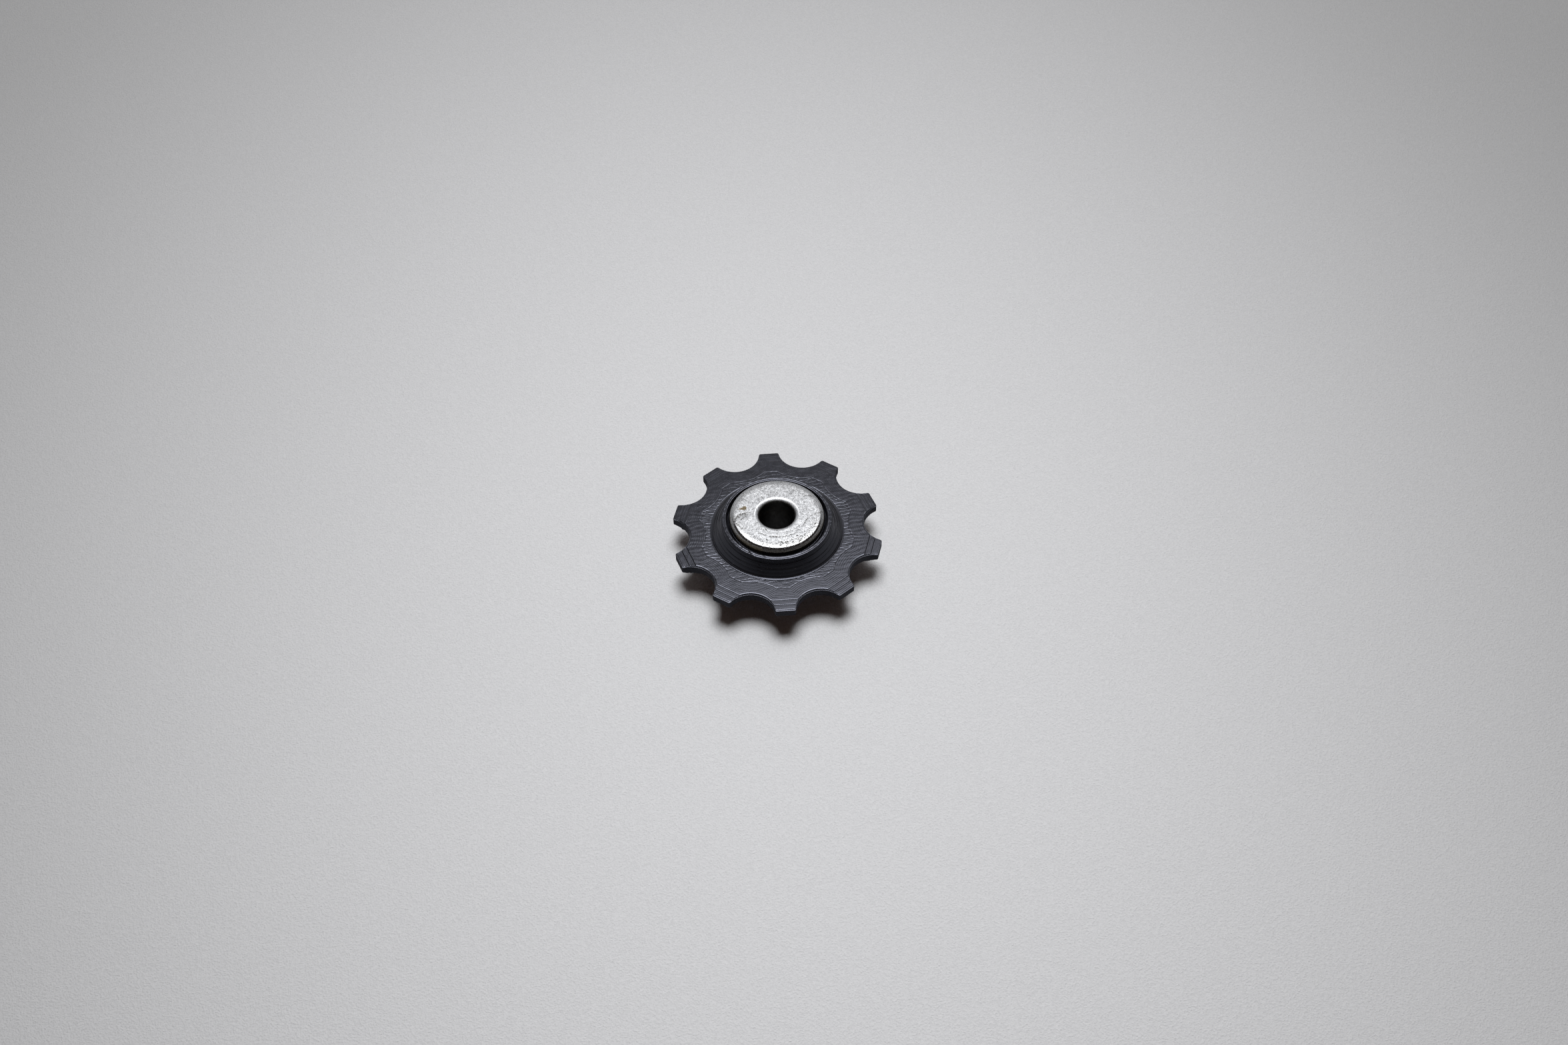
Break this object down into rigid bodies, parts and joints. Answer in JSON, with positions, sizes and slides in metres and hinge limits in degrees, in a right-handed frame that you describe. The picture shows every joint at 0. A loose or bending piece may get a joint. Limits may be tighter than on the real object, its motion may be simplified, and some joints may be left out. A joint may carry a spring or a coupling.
{
  "type": "derailleur jockey wheel",
  "caption": "Flat toothed plastic pulley wheel with a raised hub that turns on a steel bush between two round steel dust caps; it guides a bicycle chain in a derailleur cage.",
  "frame": {"origin": "on the axle's line, in the middle plane of the teeth", "axes": "+Z along the axle, out of the upper dust cap; +X through the middle of a tooth gap; +Y through the middle of a tooth"},
  "size_m": [0.0392, 0.04, 0.0104],
  "materials": {
    "printed_plastic": "3-D printed, fine lines and low satin sheen",
    "cap_steel": "plated, worn and pitted, with spots of rust",
    "bush_steel": "turned, dull with old grease"
  },
  "bodies": {
    "axle_set": {"axle_bush": "bush_steel", "dust_cap_upper": "cap_steel", "dust_cap_lower": "cap_steel"},
    "wheel": {"pulley_wheel": "printed_plastic"}
  },
  "joints": [
    {"name": "wheel_spin", "type": "hinge", "parent": "axle_set", "child": "wheel", "pos_m": [0, 0, 0], "axis": [0, 0, 1], "continuous": true}
  ]
}
